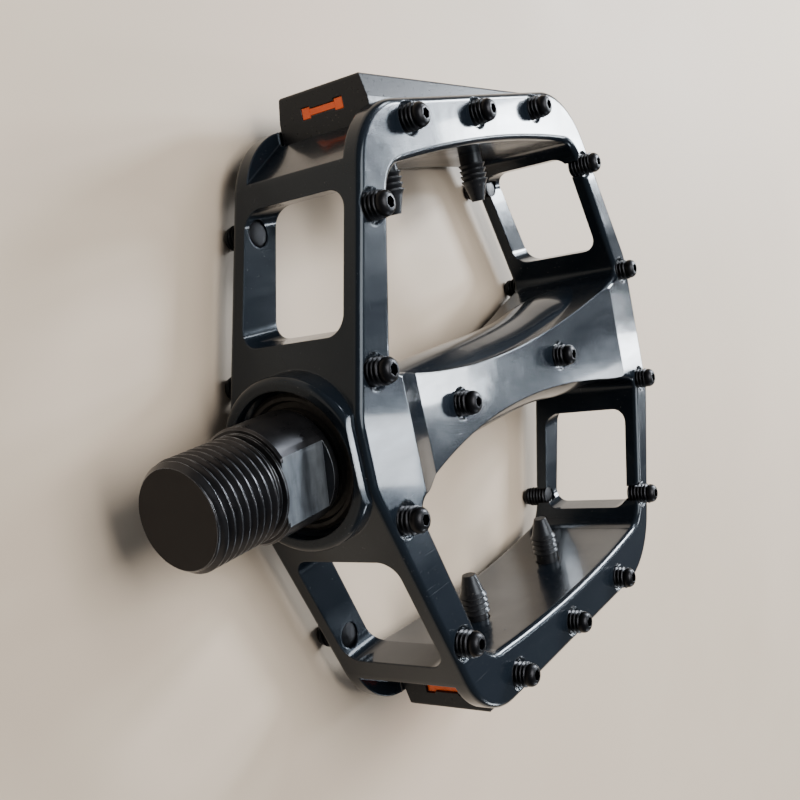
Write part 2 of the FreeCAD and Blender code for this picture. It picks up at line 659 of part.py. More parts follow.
for group, spots in pin_spots().items():
    upper = place_pins(spots)
    export("top_pins_" + group, upper)
    export("bottom_pins_" + group, mirror_down(upper))

housing = make_housing()
lens = make_lens()
export("front_reflector_housing", housing)
export("front_reflector_lens", lens)
export("rear_reflector_housing", turned_round(housing))
export("rear_reflector_lens", turned_round(lens))
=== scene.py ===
import math

import bpy
from mathutils import Matrix, Vector


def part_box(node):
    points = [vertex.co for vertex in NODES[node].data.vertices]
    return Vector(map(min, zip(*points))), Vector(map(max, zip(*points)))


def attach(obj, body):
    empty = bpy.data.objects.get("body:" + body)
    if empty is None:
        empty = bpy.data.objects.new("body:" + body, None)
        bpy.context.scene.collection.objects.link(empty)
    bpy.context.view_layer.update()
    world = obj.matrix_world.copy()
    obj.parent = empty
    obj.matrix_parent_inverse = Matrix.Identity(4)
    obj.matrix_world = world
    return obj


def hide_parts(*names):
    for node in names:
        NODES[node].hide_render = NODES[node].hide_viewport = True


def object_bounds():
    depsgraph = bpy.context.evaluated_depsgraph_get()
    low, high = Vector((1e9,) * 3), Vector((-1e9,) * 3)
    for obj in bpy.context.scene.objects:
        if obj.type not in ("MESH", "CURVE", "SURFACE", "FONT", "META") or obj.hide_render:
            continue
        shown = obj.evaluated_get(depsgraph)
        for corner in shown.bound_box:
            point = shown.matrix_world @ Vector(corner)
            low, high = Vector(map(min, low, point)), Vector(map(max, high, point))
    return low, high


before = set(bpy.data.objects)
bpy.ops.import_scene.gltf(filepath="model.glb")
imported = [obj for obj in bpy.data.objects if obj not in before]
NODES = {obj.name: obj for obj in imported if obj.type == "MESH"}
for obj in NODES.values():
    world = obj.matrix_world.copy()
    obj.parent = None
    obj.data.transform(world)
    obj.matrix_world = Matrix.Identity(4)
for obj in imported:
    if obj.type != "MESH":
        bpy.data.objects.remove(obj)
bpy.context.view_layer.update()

MM = 0.001
TURN = 2 * math.pi
HAIR = 0.01 * MM  # two lengths nearer than this count as one


# ---- shaders -------------------------------------------------------------------------------

NOISE_MIDDLE = (0.3, 0.7)  # most of what a noise gives lies between these
BEVEL_SAMPLES = 6


def rgb(r, g, b):
    return (r, g, b, 1.0)


class Shader:
    """A Principled material, with short calls that add nodes to it."""

    def __init__(self, name, **sockets):
        self.material = bpy.data.materials.new(name)
        self.material.use_nodes = True
        self.tree = self.material.node_tree
        self.bsdf = self.tree.nodes["Principled BSDF"]
        self.place = self.add("ShaderNodeTexCoord").outputs["Object"]
        for key, value in sockets.items():
            self.bsdf.inputs[key.replace("_", " ")].default_value = value

    def feed(self, socket, value):
        if isinstance(value, bpy.types.NodeSocket):
            self.tree.links.new(value, socket)
        else:
            socket.default_value = value

    def add(self, kind, inputs=None, **settings):
        node = self.tree.nodes.new(kind)
        for key, value in settings.items():
            setattr(node, key, value)
        for key, value in (inputs or {}).items():
            self.feed(node.inputs[key], value)
        return node

    def stretched(self, scale, turn):
        """Object coordinates, turned and scaled, for streaks and lines."""
        mapping = self.add("ShaderNodeMapping",
                           {"Vector": self.place, "Rotation": turn, "Scale": scale})
        return mapping.outputs["Vector"]

    def noise(self, scale, detail=3.0, roughness=0.55, place=None):
        node = self.add("ShaderNodeTexNoise",
                        {"Vector": place or self.place, "Scale": scale,
                         "Detail": detail, "Roughness": roughness, "Distortion": 0.0})
        return node.outputs["Fac"]

    def streaks(self, detail, roughness, scale, turn):
        """Noise drawn out along the axis with the smallest scale."""
        return self.noise(1.0, detail, roughness, self.stretched(scale, turn))

    def waves(self, scale, place, distortion, direction="X"):
        node = self.add("ShaderNodeTexWave",
                        {"Vector": place, "Scale": scale, "Distortion": distortion,
                         "Detail": 2.0}, bands_direction=direction)
        return node.outputs["Fac"]

    def span(self, value, low, high, to_low=0.0, to_high=1.0):
        """value from low..high brought to to_low..to_high, and held there outside it."""
        node = self.add("ShaderNodeMapRange", {"Value": value, "From Min": low, "From Max": high,
                                               "To Min": to_low, "To Max": to_high})
        return node.outputs["Result"]

    def vary(self, noise, low, high):
        """low..high, following a noise."""
        return self.span(noise, *NOISE_MIDDLE, low, high)

    def math(self, operation, a, b):
        node = self.add("ShaderNodeMath", operation=operation)
        self.feed(node.inputs[0], a)
        self.feed(node.inputs[1], b)
        return node.outputs["Value"]

    def times(self, a, b):
        return self.math("MULTIPLY", a, b)

    def blend(self, share, a, b):
        node = self.add("ShaderNodeMix", data_type="RGBA")
        self.feed(node.inputs["Factor"], share)
        self.feed(node.inputs["A"], a)
        self.feed(node.inputs["B"], b)
        return node.outputs["Result"]

    def layer(self, base, mask, amount, colour):
        """colour over base where the mask is 1, to the given amount."""
        return self.blend(self.times(mask, amount), base, colour)

    def rounded(self, radius):
        """The normal with its edges rounded off."""
        return self.add("ShaderNodeBevel", {"Radius": radius},
                        samples=BEVEL_SAMPLES).outputs["Normal"]

    def edges(self, radius, low=0.002, high=0.05):
        """1 on sharp edges and 0 on open faces."""
        node = self.add("ShaderNodeVectorMath", operation="DOT_PRODUCT")
        self.feed(node.inputs[0], self.rounded(radius))
        self.feed(node.inputs[1], self.add("ShaderNodeNewGeometry").outputs["Normal"])
        return self.span(self.math("SUBTRACT", 1.0, node.outputs["Value"]), low, high)

    def bumps(self, *layers, round_edge=0.0):
        """Layers of (height, strength, distance), the first one lowest."""
        normal = self.rounded(round_edge) if round_edge else None
        for height, strength, distance in layers:
            node = self.add("ShaderNodeBump",
                            {"Height": height, "Strength": strength, "Distance": distance})
            if normal:
                self.feed(node.inputs["Normal"], normal)
            normal = node.outputs["Normal"]
        self.feed(self.bsdf.inputs["Normal"], normal)

    def drive(self, **sockets):
        for key, value in sockets.items():
            self.feed(self.bsdf.inputs[key.replace("_", " ")], value)
        return self.material


def black_paint():
    """Gloss black paint on a casting: orange peel, dust, hairline scratches, worn edges."""
    # the cool Specular_Tint is a painted reflection colour: it makes every reflection of the
    # paint bluish in place of cool light
    s = Shader("black_paint", Specular_IOR_Level=0.20, Coat_Weight=0.22, Coat_Roughness=0.05,
               Coat_IOR=1.5, Specular_Tint=rgb(0.62, 0.80, 1.0))
    cloud = s.noise(55, 4, 0.6)
    smear = s.streaks(4, 0.6, (30, 160, 160), (0, 0, 0.5))
    lines = s.streaks(2, 0.5, (90, 3200, 3200), (0.2, 0.1, 0.7))
    cross = s.streaks(2, 0.5, (2800, 70, 2800), (0.1, 0.0, 0.35))
    hair = s.math("MAXIMUM", s.span(lines, 0.70, 0.78), s.span(cross, 0.72, 0.79))
    hair = s.times(hair, s.span(cloud, 0.45, 0.62))
    dust = s.times(s.span(s.noise(2600, 2, 0.5), 0.71, 0.80), s.span(s.noise(90, 3), 0.42, 0.65))
    chip = s.times(s.edges(0.3 * MM, 0.03, 0.16), s.span(s.noise(420, 4, 0.7), 0.66, 0.73))
    rub = s.times(s.edges(0.5 * MM), s.span(s.noise(130, 3), 0.35, 0.7))
    base = s.blend(cloud, rgb(0.004, 0.006, 0.009), rgb(0.009, 0.013, 0.019))
    base = s.layer(base, rub, 0.5, rgb(0.045, 0.050, 0.060))
    base = s.layer(base, hair, 0.25, rgb(0.16, 0.16, 0.17))
    base = s.layer(base, dust, 0.45, rgb(0.34, 0.32, 0.29))
    base = s.blend(chip, base, rgb(0.50, 0.51, 0.54))
    marred = s.times(s.math("MAXIMUM", dust, hair), 0.5)
    rough = s.math("MAXIMUM", s.vary(smear, 0.14, 0.26), marred)
    s.bumps((s.noise(75, 1, 0.3), 0.30, 0.8 * MM), (s.noise(400, 1, 0.3), 0.15, 0.12 * MM),
            (s.noise(1500, 2, 0.5), 0.06, 0.03 * MM), (hair, 0.25, -0.02 * MM),
            round_edge=0.4 * MM)
    return s.drive(Base_Color=base, Roughness=rough, Metallic=s.times(chip, 0.9))


def oxide_steel(name, dark, light, rough_low, rough_high, across="X", wear=0.8):
    """Turned, black-oxided steel with rubbed crests and fine tool lines."""
    s = Shader(name, Metallic=0.85, Specular_IOR_Level=0.4)
    cloud = s.noise(260, 4, 0.6)
    worn = s.times(s.edges(0.10 * MM, 0.01, 0.12), s.span(s.noise(700, 3, 0.6), 0.3, 0.6))
    tool = s.waves(1400, s.place, 0.6, across)
    base = s.blend(cloud, dark, light)
    base = s.layer(base, worn, wear, rgb(0.42, 0.46, 0.52))
    s.bumps((tool, 0.12, 0.01 * MM), (s.noise(2400, 3, 0.6), 0.2, 0.02 * MM),
            round_edge=0.08 * MM)
    return s.drive(Base_Color=base, Roughness=s.vary(cloud, rough_low, rough_high))


def milled_flat():
    """Spanner flat with broad, slanting cutter marks."""
    slant = (0, 0, 0.9)
    s = Shader("milled_flat", Metallic=0.9)
    broad = s.streaks(3, 0.5, (420, 60, 420), slant)
    fine = s.waves(900, s.stretched((1, 1, 1), slant), 2.0)
    grime = s.noise(300, 4, 0.65)
    base = s.blend(s.span(broad, 0.32, 0.68), rgb(0.11, 0.125, 0.145), rgb(0.42, 0.47, 0.53))
    base = s.layer(base, s.span(grime, 0.5, 0.75), 0.5, rgb(0.05, 0.055, 0.062))
    s.bumps((broad, 0.30, 0.05 * MM), (fine, 0.08, 0.010 * MM), round_edge=0.12 * MM)
    return s.drive(Base_Color=base, Roughness=s.vary(grime, 0.26, 0.42))


def bright_steel(name, tint, rough_low, rough_high, pitch=1800.0):
    """Ground bearing steel, or plated steel, with a film of grease."""
    s = Shader(name, Metallic=1.0, Coat_Weight=0.25, Coat_Roughness=0.2)
    film = s.noise(420, 3, 0.5)
    ground = s.waves(pitch, s.place, 0.3)
    base = s.blend(s.span(film, 0.4, 0.7), tint, rgb(0.34, 0.30, 0.22))
    s.bumps((ground, 0.06, 0.006 * MM), (s.noise(3200, 2), 0.08, 0.008 * MM))
    return s.drive(Base_Color=base, Roughness=s.vary(film, rough_low, rough_high))


def black_plastic(name, grain=1900.0, rough_low=0.26, rough_high=0.42):
    """Moulded black plastic with a fine spark-eroded grain, dust and scuffed edges."""
    # the cool Specular_Tint is a painted reflection colour: it makes every reflection of the
    # plastic bluish in place of cool light
    s = Shader(name, Specular_IOR_Level=0.30, Specular_Tint=rgb(0.78, 0.88, 1.0))
    cloud = s.noise(120, 4, 0.6)
    pores = s.noise(grain, 3, 0.6)
    dust = s.times(s.span(s.noise(2300, 2), 0.68, 0.8), s.span(cloud, 0.4, 0.6))
    scuff = s.times(s.edges(0.25 * MM, 0.01, 0.1), s.span(s.noise(600, 3), 0.4, 0.65))
    base = s.blend(cloud, rgb(0.006, 0.006, 0.007), rgb(0.014, 0.014, 0.016))
    base = s.layer(base, scuff, 0.6, rgb(0.10, 0.10, 0.105))
    base = s.layer(base, dust, 0.5, rgb(0.28, 0.26, 0.23))
    s.bumps((pores, 0.35, 0.035 * MM), (cloud, 0.1, 0.1 * MM), round_edge=0.2 * MM)
    return s.drive(Base_Color=base, Roughness=s.vary(pores, rough_low, rough_high))


def seal_rubber():
    """Matt rubber with a pale bloom."""
    s = Shader("seal_rubber", Specular_IOR_Level=0.35)
    cloud = s.noise(300, 4, 0.6)
    bloom = s.span(s.noise(900, 3, 0.7), 0.55, 0.75)
    base = s.blend(cloud, rgb(0.010, 0.010, 0.010), rgb(0.024, 0.023, 0.022))
    base = s.layer(base, bloom, 0.3, rgb(0.09, 0.085, 0.08))
    s.bumps((s.noise(2200, 3, 0.6), 0.4, 0.03 * MM), round_edge=0.15 * MM)
    return s.drive(Base_Color=base, Roughness=s.vary(cloud, 0.5, 0.75))


def amber_lens():
    """Amber plastic with a faint painted glow, as if lit a little from within."""
    # Emission_Strength gives the lens a painted glow: it shines faintly though it is no lamp
    s = Shader("amber_lens", Coat_Weight=0.25, Coat_Roughness=0.05, Specular_IOR_Level=0.35,
               Subsurface_Weight=0.15, Subsurface_Scale=0.002, Emission_Strength=0.10)
    depth = s.noise(160, 3, 0.5)
    haze = s.noise(900, 3, 0.6)
    base = s.blend(depth, rgb(0.62, 0.055, 0.002), rgb(0.78, 0.095, 0.004))
    s.bumps((haze, 0.06, 0.02 * MM), round_edge=0.08 * MM)
    # colour of the painted glow, emitted by the lens itself
    painted_glow = s.blend(depth, rgb(1.0, 0.10, 0.005), rgb(1.0, 0.17, 0.01))
    return s.drive(Base_Color=base, Roughness=s.vary(haze, 0.08, 0.22), Emission_Color=painted_glow)


def pale_floor():
    """Plain warm sheet with a trace of tone."""
    s = Shader("pale_floor", Specular_IOR_Level=0.3)
    cloud = s.noise(9, 4, 0.55)
    base = s.blend(cloud, rgb(0.50, 0.41, 0.315), rgb(0.58, 0.485, 0.385))
    s.bumps((s.noise(700, 3, 0.6), 0.08, 0.1 * MM))
    return s.drive(Base_Color=base, Roughness=s.vary(cloud, 0.5, 0.62))


# ---- mesh code -----------------------------------------------------------------------------

MICRONS = 1e6  # in a metre


def piece(name, verts, faces, materials, body, nodes, smooth, marks=()):
    """Object from raw mesh data, riding on a body in place of CAD nodes.

    smooth is the angle in degrees past which an edge is sharp."""
    mesh = bpy.data.meshes.new(name)
    mesh.from_pydata(verts, [], faces)
    for material in materials:
        mesh.materials.append(material)
    for polygon, mark in zip(mesh.polygons, marks):
        polygon.material_index = mark
    mesh.polygons.foreach_set("use_smooth", [True] * len(mesh.polygons))
    mesh.set_sharp_from_angle(angle=math.radians(smooth))
    mesh.update()
    made = bpy.data.objects.new(name, mesh)
    bpy.context.scene.collection.objects.link(made)
    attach(made, body)
    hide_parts(*nodes)
    return made


def turned(rings, angles, radius):
    """Closed skin round an axis. rings is (height, r, mark); radius(height, r, angle) trims r.

    Points come back as (radial a, radial b, height), with one mark for each face."""
    count = len(angles)
    verts = []
    for height, r, _ in rings:
        for angle in angles:
            trimmed = radius(height, r, angle)
            verts.append((trimmed * math.cos(angle), trimmed * math.sin(angle), height))
    faces = []
    marks = []
    for k in range(len(rings) - 1):
        low = k * count
        for j in range(count):
            after = (j + 1) % count
            faces.append((low + j, low + after, low + count + after, low + count + j))
            marks.append(rings[k + 1][2])
    for ring, flip in ((0, True), (len(rings) - 1, False)):
        centre = len(verts)
        verts.append((0.0, 0.0, rings[ring][0]))
        for j in range(count):
            a = ring * count + j
            b = ring * count + (j + 1) % count
            faces.append((b, a, centre) if flip else (a, b, centre))
            marks.append(rings[ring][2])
    return verts, faces, marks


def tooth(phase, crest, root):
    """Depth share of a thread at a phase of 0..1: 0 on the crest and 1 in the root.

    crest and root are the flat shares of half a turn."""
    away = abs((phase + 0.5) % 1.0 - 0.5) * 2
    return min(1.0, max(0.0, (away - crest) / (1 - crest - root)))


def islands(node):
    """(lowest, highest) corner of each separate solid in a CAD node."""
    mesh = NODES[node].data
    parent = list(range(len(mesh.vertices)))

    def root(i):
        while parent[i] != i:
            parent[i] = parent[parent[i]]
            i = parent[i]
        return i

    places = {}
    for v in mesh.vertices:
        key = tuple(round(c * MICRONS) for c in v.co)
        first = places.setdefault(key, v.index)
        parent[root(v.index)] = root(first)
    for edge in mesh.edges:
        parent[root(edge.vertices[0])] = root(edge.vertices[1])
    groups = {}
    for v in mesh.vertices:
        groups.setdefault(root(v.index), []).append(v.co)
    boxes = []
    for points in groups.values():
        low = Vector([min(p[k] for p in points) for k in range(3)])
        high = Vector([max(p[k] for p in points) for k in range(3)])
        boxes.append((low, high))
    return sorted(boxes, key=lambda box: (round(box[0].x, 4), round(box[0].y, 4)))


# ---- spindle, along x ----------------------------------------------------------------------

# crank thread
THREAD_R = 7.14375 * MM
THREAD_PITCH = 1.27 * MM
THREAD_DEPTH = 0.72 * MM
THREAD_STEPS = 14  # rings in one turn of the thread
THREAD_FLATS = (0.16, 0.10)  # crest and root
TIP_CHAMFER = 1.0 * MM
TIP_DROP = 0.8 * MM
RELIEF_START = -1.35 * MM
RELIEF_RAMP = 0.1 * MM
SEAT_RAMP = 0.15 * MM
SEAT_START = -0.4 * MM
# collar with two spanner flats
COLLAR_R = 7.9 * MM
COLLAR_END = 9.4 * MM
CORNER = 0.3 * MM
FLAT_HALF = 6.5 * MM
FLAT_END = 8.2 * MM
FLAT_TURN = math.radians(8.0)
FLAT_RINGS_R = 7.24375 * MM  # only rings wider than this meet the flats
FLAT_EDGE = 0.02 * MM
SLOPE_LEAST = 1e-6  # keeps the reach of a flat finite along the flat
# race of the inboard balls
LAND_R = 6.8 * MM
BALL_X = 15.5 * MM
BALL_CIRCLE = 7.3 * MM
RACE_R = 1.6375 * MM
RACE_ARC = (197.8, 270.0)  # degrees round the ball
RACE_STEPS = 8
RACE_END = 18.0 * MM
# shank and the threaded end behind the cone
SHANK_START = (20.0 * MM, 5.3 * MM)  # (x, r)
SHANK_END = (86.0 * MM, 4.6 * MM)
STUB_START = 86.2 * MM
STUB_R = 4.0 * MM
STUB_PITCH = 1.0 * MM
STUB_DEPTH = 0.55 * MM
STUB_THREAD_START = 97.0 * MM
STUB_CHAMFER = 0.6 * MM
STUB_STEPS = 120
SPINDLE_SPOKES = 128
# indexes of the materials
OXIDE, MILLED, END_FACE = 0, 1, 2


def spindle_rings(low_x, high_x):
    """(x, r, mark) of the rings from the crank end to the outboard end."""
    root = THREAD_R - THREAD_DEPTH
    rings = [(low_x, THREAD_R - TIP_DROP, END_FACE)]
    steps = int((RELIEF_START - low_x) / THREAD_PITCH * THREAD_STEPS)
    for k in range(1, steps + 1):
        x = low_x + (RELIEF_START - low_x) * k / steps
        rings.append((x, THREAD_R - TIP_DROP * max(0.0, 1 - (x - low_x) / TIP_CHAMFER), OXIDE))
    rings += [(RELIEF_START + RELIEF_RAMP, root, OXIDE), (SEAT_START - SEAT_RAMP, root, OXIDE),
              (SEAT_START, THREAD_R, OXIDE), (0.0, THREAD_R, OXIDE),
              (0.0, COLLAR_R - CORNER, OXIDE), (CORNER, COLLAR_R, MILLED),
              (FLAT_END, COLLAR_R, MILLED), (FLAT_END, COLLAR_R, OXIDE),
              (COLLAR_END - CORNER, COLLAR_R, OXIDE), (COLLAR_END, COLLAR_R - CORNER, OXIDE),
              (COLLAR_END, LAND_R, OXIDE)]
    first, last = RACE_ARC
    for k in range(RACE_STEPS + 1):
        angle = math.radians(first + (last - first) * k / RACE_STEPS)
        rings.append((BALL_X + RACE_R * math.cos(angle), BALL_CIRCLE + RACE_R * math.sin(angle),
                      OXIDE))
    rings += [(RACE_END, BALL_CIRCLE - RACE_R, OXIDE), (*SHANK_START, OXIDE), (*SHANK_END, OXIDE),
              (SHANK_END[0], STUB_R, OXIDE)]
    for k in range(1, STUB_STEPS + 1):
        x = STUB_START + (high_x - STUB_START) * k / STUB_STEPS
        rings.append((x, STUB_R - max(0.0, x - high_x + STUB_CHAMFER), OXIDE))
    return rings


def spindle_radius(x, r, angle):
    """r cut down to the thread where there is one."""
    if x < RELIEF_START + HAIR:
        depth = THREAD_DEPTH * tooth(x / THREAD_PITCH - angle / TURN, *THREAD_FLATS)
        return min(r, THREAD_R - depth)
    if x > STUB_THREAD_START:
        return min(r, STUB_R - STUB_DEPTH * tooth(x / STUB_PITCH - angle / TURN, *THREAD_FLATS))
    return r


def make_spindle():
    """Spindle with helical threads. Points, faces and the material index of each face."""
    low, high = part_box("spindle")
    rings = spindle_rings(low.x, high.x)
    edge = math.asin(FLAT_HALF / COLLAR_R)
    angles = {TURN * k / SPINDLE_SPOKES for k in range(SPINDLE_SPOKES)}
    for turn in (edge, math.pi - edge, math.pi + edge, TURN - edge):
        angles.add((turn + FLAT_TURN) % TURN)
    angles = sorted(angles)
    verts, faces, marks = turned(rings, angles, spindle_radius)
    for k, (x, r, mark) in enumerate(rings):
        behind_flats = x == FLAT_END and mark == OXIDE
        if x > FLAT_END or r <= FLAT_RINGS_R or behind_flats:
            continue
        for j, angle in enumerate(angles):
            reach = FLAT_HALF / max(SLOPE_LEAST, abs(math.sin(angle - FLAT_TURN)))
            cut = min(r, reach)
            verts[k * len(angles) + j] = (cut * math.cos(angle), cut * math.sin(angle), x)
    for index, face in enumerate(faces):
        if marks[index] == MILLED:
            middle = sum((Vector(verts[v]) for v in face), Vector()) / len(face)
            across = middle.y * math.cos(FLAT_TURN) - middle.x * math.sin(FLAT_TURN)
            if abs(across) < FLAT_HALF - FLAT_EDGE:
                marks[index] = OXIDE
    # turned() works about its own height axis; height is X, radial a is Y and radial b is Z
    return [(h, a, b) for a, b, h in verts], faces, marks


# ---- grip pins -----------------------------------------------------------------------------

PIN_R = 2.0 * MM
PIN_PITCH = 0.7 * MM
PIN_DEPTH = 0.42 * MM  # of the thread
PIN_FLATS = (0.14, 0.08)  # crest and root
PIN_STEPS = 10  # rings in one turn of the thread
PIN_SPOKES = 36
PIN_STANDS = 3.0 * MM
PIN_SUNK = 2.6 * MM
PIN_END_CHAMFER = 0.4 * MM
THREAD_FADE = 0.3 * MM
DOME_LENGTH = 1.1 * MM
DOME_START = PIN_STANDS - DOME_LENGTH
DOME_R = 1.85 * MM
DOME_TIP_R = 1.02 * MM
DOME_STEPS = 8
DOME_SHARE = 0.96  # of a quarter circle's radius
DOME_FALL = 1 - math.sqrt(1 - DOME_SHARE ** 2)
SOCKET_HALF = 0.75 * MM
SOCKET_DEPTH = 1.2 * MM
# how far a pin is turned for its place along x and y, so that no two look alike
PIN_TURNS = (170, 310)
PIN_TURN_LENGTH = 10 * MM


def hexagon(angle):
    """Radius of the socket's hexagon in that direction."""
    return SOCKET_HALF / math.cos((angle + math.pi / 6) % (math.pi / 3) - math.pi / 6)


def pin_radius(z, r, angle):
    """r cut down to the thread, or the hexagon where r is 0."""
    if r == 0.0:
        return hexagon(angle)
    if z > DOME_START + HAIR:
        return r
    fade = min(1.0, max(0.0, (DOME_START - z) / THREAD_FADE))
    full = min(r, DOME_R) if fade < 1.0 else r
    return full - PIN_DEPTH * fade * tooth(z / PIN_PITCH - angle / TURN, *PIN_FLATS)


def make_pin():
    """One set screw on z = 0, tip up: helical thread, domed end and hexagon socket."""
    rings = [(-PIN_SUNK, PIN_R - PIN_END_CHAMFER, 0)]
    threaded = DOME_START + PIN_SUNK
    steps = int(threaded / PIN_PITCH * PIN_STEPS)
    for k in range(1, steps + 1):
        rings.append((-PIN_SUNK + threaded * k / steps, PIN_R, 0))
    for k in range(1, DOME_STEPS + 1):
        share = k / DOME_STEPS
        fall = (1 - math.sqrt(1 - (DOME_SHARE * share) ** 2)) / DOME_FALL
        rings.append((DOME_START + DOME_LENGTH * share, DOME_R - (DOME_R - DOME_TIP_R) * fall, 0))
    rings += [(PIN_STANDS, 0.0, 0), (PIN_STANDS - SOCKET_DEPTH, 0.0, 0)]
    angles = [TURN * k / PIN_SPOKES for k in range(PIN_SPOKES)]
    verts, faces, _ = turned(rings, angles, pin_radius)
    return verts, faces


def place_pins(node, material, pin):
    """Copies of the pin, in one piece, where the node's solids are."""
    points, sides = pin
    verts = []
    faces = []
    for low, high in islands(node):
        up = high.z > 0
        base = high.z - PIN_STANDS if up else low.z + PIN_STANDS
        centre = Vector(((low.x + high.x) / 2, (low.y + high.y) / 2, base))
        angle = (low.x * PIN_TURNS[0] + low.y * PIN_TURNS[1]) / PIN_TURN_LENGTH % TURN
        turn = Matrix.Rotation(angle, 3, "Z")
        if not up:
            turn = turn @ Matrix.Rotation(math.pi, 3, "X")
        start = len(verts)
        verts += [tuple(centre + turn @ Vector(p)) for p in points]
        faces += [tuple(start + v for v in side) for side in sides]
    return piece("grip_" + node, verts, faces, [material], "platform", [node], 28)


# ---- reflectors ----------------------------------------------------------------------------

PRISM_STEP = 1.15 * MM
PRISM_RISE = 0.26 * MM
PRISM_SINK = 0.3 * MM
LENS_BORDER = 0.55 * MM
LENS_TILT = math.radians(2.75)
LENS_PIVOT_Y = 50.6 * MM
LENS_INSET = 1.7 * MM
LENS_SEAT = 45.4 * MM
LENS_FACE = 50.0 * MM
LENS_HALF_Z = 5.8 * MM
TAB_REACH = 1.45 * MM
# (y range, z range) of the bar and the two pads that show in the housing's end slot
TAB_BARS = (((46.85 * MM, 47.75 * MM), (-2.4 * MM, 2.4 * MM)),
            ((46.5 * MM, 48.1 * MM), (2.3 * MM, 3.8 * MM)),
            ((46.5 * MM, 48.1 * MM), (-3.8 * MM, -2.3 * MM)))
# (inset, depth below the face) of the loops from the prism field out to the side of the block
LENS_RIM = ((0.5 * MM, 0.0), (0.35 * MM, 0.0), (0.1 * MM, 0.08 * MM), (0.0, 0.3 * MM))


def prism_field(half_x, half_z, face):
    """Grid of points and triangles for the prisms, and the loop of points round it."""
    reach_x = half_x - LENS_BORDER
    reach_z = half_z - LENS_BORDER
    rows = int(2 * reach_z / (PRISM_STEP * math.sqrt(3) / 2))
    columns = int(2 * reach_x / PRISM_STEP)
    verts = []
    for j in range(rows + 1):
        for i in range(columns + 1):
            inside = 0 < i < columns and 0 < j < rows
            shift = 0.5 * (j % 2) if 0 < i < columns else 0.0
            level = (i - (j + 1) // 2 + j * 2) % 3 if inside else 0
            verts.append((reach_x * (2 * (i + shift) / columns - 1),
                          face - PRISM_SINK - PRISM_RISE * level,
                          reach_z * (2 * j / rows - 1)))
    faces = []
    wide = columns + 1
    for j in range(rows):
        for i in range(columns):
            a = j * wide + i
            if j % 2 == 0:
                faces += [(a, a + wide, a + 1), (a + 1, a + wide, a + wide + 1)]
            else:
                faces += [(a, a + wide, a + wide + 1), (a, a + wide + 1, a + 1)]
    loop = list(range(wide))
    loop += [j * wide + columns for j in range(1, rows + 1)]
    loop += [rows * wide + i for i in range(columns - 1, -1, -1)]
    loop += [j * wide for j in range(rows - 1, 0, -1)]
    return verts, faces, loop


def box_mesh(low, high, start):
    """Corners and faces of an upright box; faces count from start."""
    verts = [(x, y, z)
             for z in (low[2], high[2]) for y in (low[1], high[1]) for x in (low[0], high[0])]
    sides = ((0, 2, 3, 1), (4, 5, 7, 6), (0, 1, 5, 4), (1, 3, 7, 5), (3, 2, 6, 7), (2, 0, 4, 6))
    return verts, [tuple(start + v for v in side) for side in sides]


def lens_block(half_x, face):
    """Prism field with a rim, sides and a flat back, centred on the origin and facing +y."""
    verts, faces, loop = prism_field(half_x, LENS_HALF_Z, face)
    loops = [loop]
    for inset, depth in LENS_RIM:
        ring = []
        for index in loop:
            x, _, z = verts[index]
            ring.append(len(verts))
            verts.append((x / (half_x - LENS_BORDER) * (half_x - inset), face - depth,
                          z / (LENS_HALF_Z - LENS_BORDER) * (LENS_HALF_Z - inset)))
        loops.append(ring)
    back = [len(verts) + k for k in range(len(loop))]
    verts += [(verts[index][0], -face, verts[index][2]) for index in loops[-1]]
    loops.append(back)
    for inner, outer in zip(loops, loops[1:]):
        for k in range(len(inner)):
            after = (k + 1) % len(inner)
            faces.append((inner[k], inner[after], outer[after], outer[k]))
    faces.append(tuple(reversed(back)))
    return verts, faces


def make_lens(node, housing, material):
    """Lens with a field of corner-cube prisms and a tab at each end, tilted as its housing is."""
    low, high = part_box(housing)
    half_x = (high.x - low.x) / 2 - LENS_INSET
    verts, faces = lens_block(half_x, (LENS_FACE - LENS_SEAT) / 2)
    shift = (LENS_FACE + LENS_SEAT) / 2
    for end in (-1, 1):
        reach = sorted((end * (half_x - LENS_BORDER), end * (half_x + TAB_REACH)))
        for (y0, y1), (z0, z1) in TAB_BARS:
            corners, sides = box_mesh((reach[0], y0 - shift, z0), (reach[1], y1 - shift, z1),
                                      len(verts))
            verts += corners
            faces += sides
    pivot = Vector((low.x, LENS_PIVOT_Y, 0.0))
    local = Vector(((high.x - low.x) / 2, shift - LENS_PIVOT_Y, 0.0))
    tilt = Matrix.Rotation(-LENS_TILT, 3, "Z")
    verts = [pivot + tilt @ (local + Vector(v)) for v in verts]
    if high.y < 0:  # the rear lens is the front one turned half way round
        verts = [Vector((low.x + high.x - v.x, -v.y, v.z)) for v in verts]
    verts = [tuple(v) for v in verts]
    return piece("prism_" + node, verts, faces, [material], "platform", [node], 20)


# ---- build ---------------------------------------------------------------------------------

paint = black_paint()
oxide = oxide_steel("spindle_oxide", rgb(0.020, 0.020, 0.023), rgb(0.055, 0.056, 0.062),
                    0.24, 0.40)
end_face = oxide_steel("spindle_end", rgb(0.014, 0.014, 0.016), rgb(0.030, 0.029, 0.031),
                       0.42, 0.60)
flats = milled_flat()
pin_black = oxide_steel("pin_oxide", rgb(0.008, 0.008, 0.010), rgb(0.022, 0.023, 0.026),
                        0.30, 0.44, across="Z", wear=0.12)
plastic = black_plastic("housing_plastic")
cap_plastic = black_plastic("cap_plastic", 1500.0, 0.36, 0.52)
rubber = seal_rubber()
race_steel = bright_steel("race_steel", rgb(0.55, 0.55, 0.57), 0.16, 0.30)
ball_steel = bright_steel("ball_steel", rgb(0.74, 0.74, 0.76), 0.05, 0.12)
zinc = bright_steel("zinc_plate", rgb(0.50, 0.50, 0.54), 0.28, 0.42, 900.0)
amber = amber_lens()

